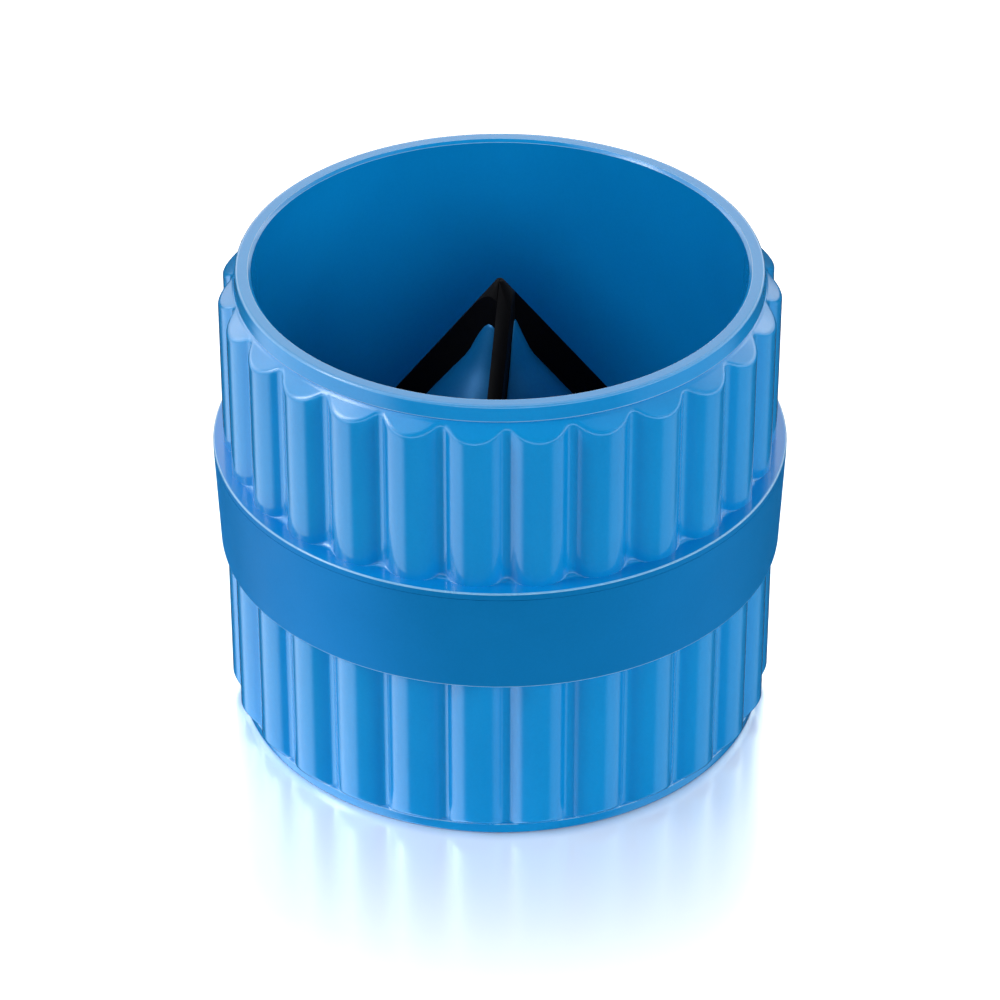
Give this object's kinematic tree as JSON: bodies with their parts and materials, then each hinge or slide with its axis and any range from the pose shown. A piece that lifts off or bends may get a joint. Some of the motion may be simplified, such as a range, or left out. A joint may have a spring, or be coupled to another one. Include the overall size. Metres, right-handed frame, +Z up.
{
  "type": "deburring tool",
  "caption": "Hand pipe deburring tool: fluted plastic barrel with a smooth centre band, holding steel blades in a cone that trims inner and outer pipe edges.",
  "frame": {"origin": "on the barrel's axis, in the plane of the foot face that the tool stands on", "axes": "+Z up the barrel's axis from the foot to the rim, where the cone of blades points; one blade lies 10 degrees to the -X side of -Y"},
  "size_m": [0.0582, 0.0582, 0.0505],
  "materials": {
    "barrel_plastic": "glossy moulded blue",
    "band_plastic": "satin moulded blue",
    "carrier_plastic": "glossy moulded blue",
    "blade_steel": "hardened, black oxide",
    "dowel_steel": "bright drawn"
  },
  "bodies": {
    "root": {"upper_barrel": "barrel_plastic", "lower_barrel": "barrel_plastic", "centre_band": "band_plastic", "blade_carrier": "carrier_plastic", "blade_1": "blade_steel", "blade_2": "blade_steel", "blade_3": "blade_steel", "blade_dowel_1": "dowel_steel", "blade_dowel_2": "dowel_steel", "blade_dowel_3": "dowel_steel"}
  },
  "joints": []
}
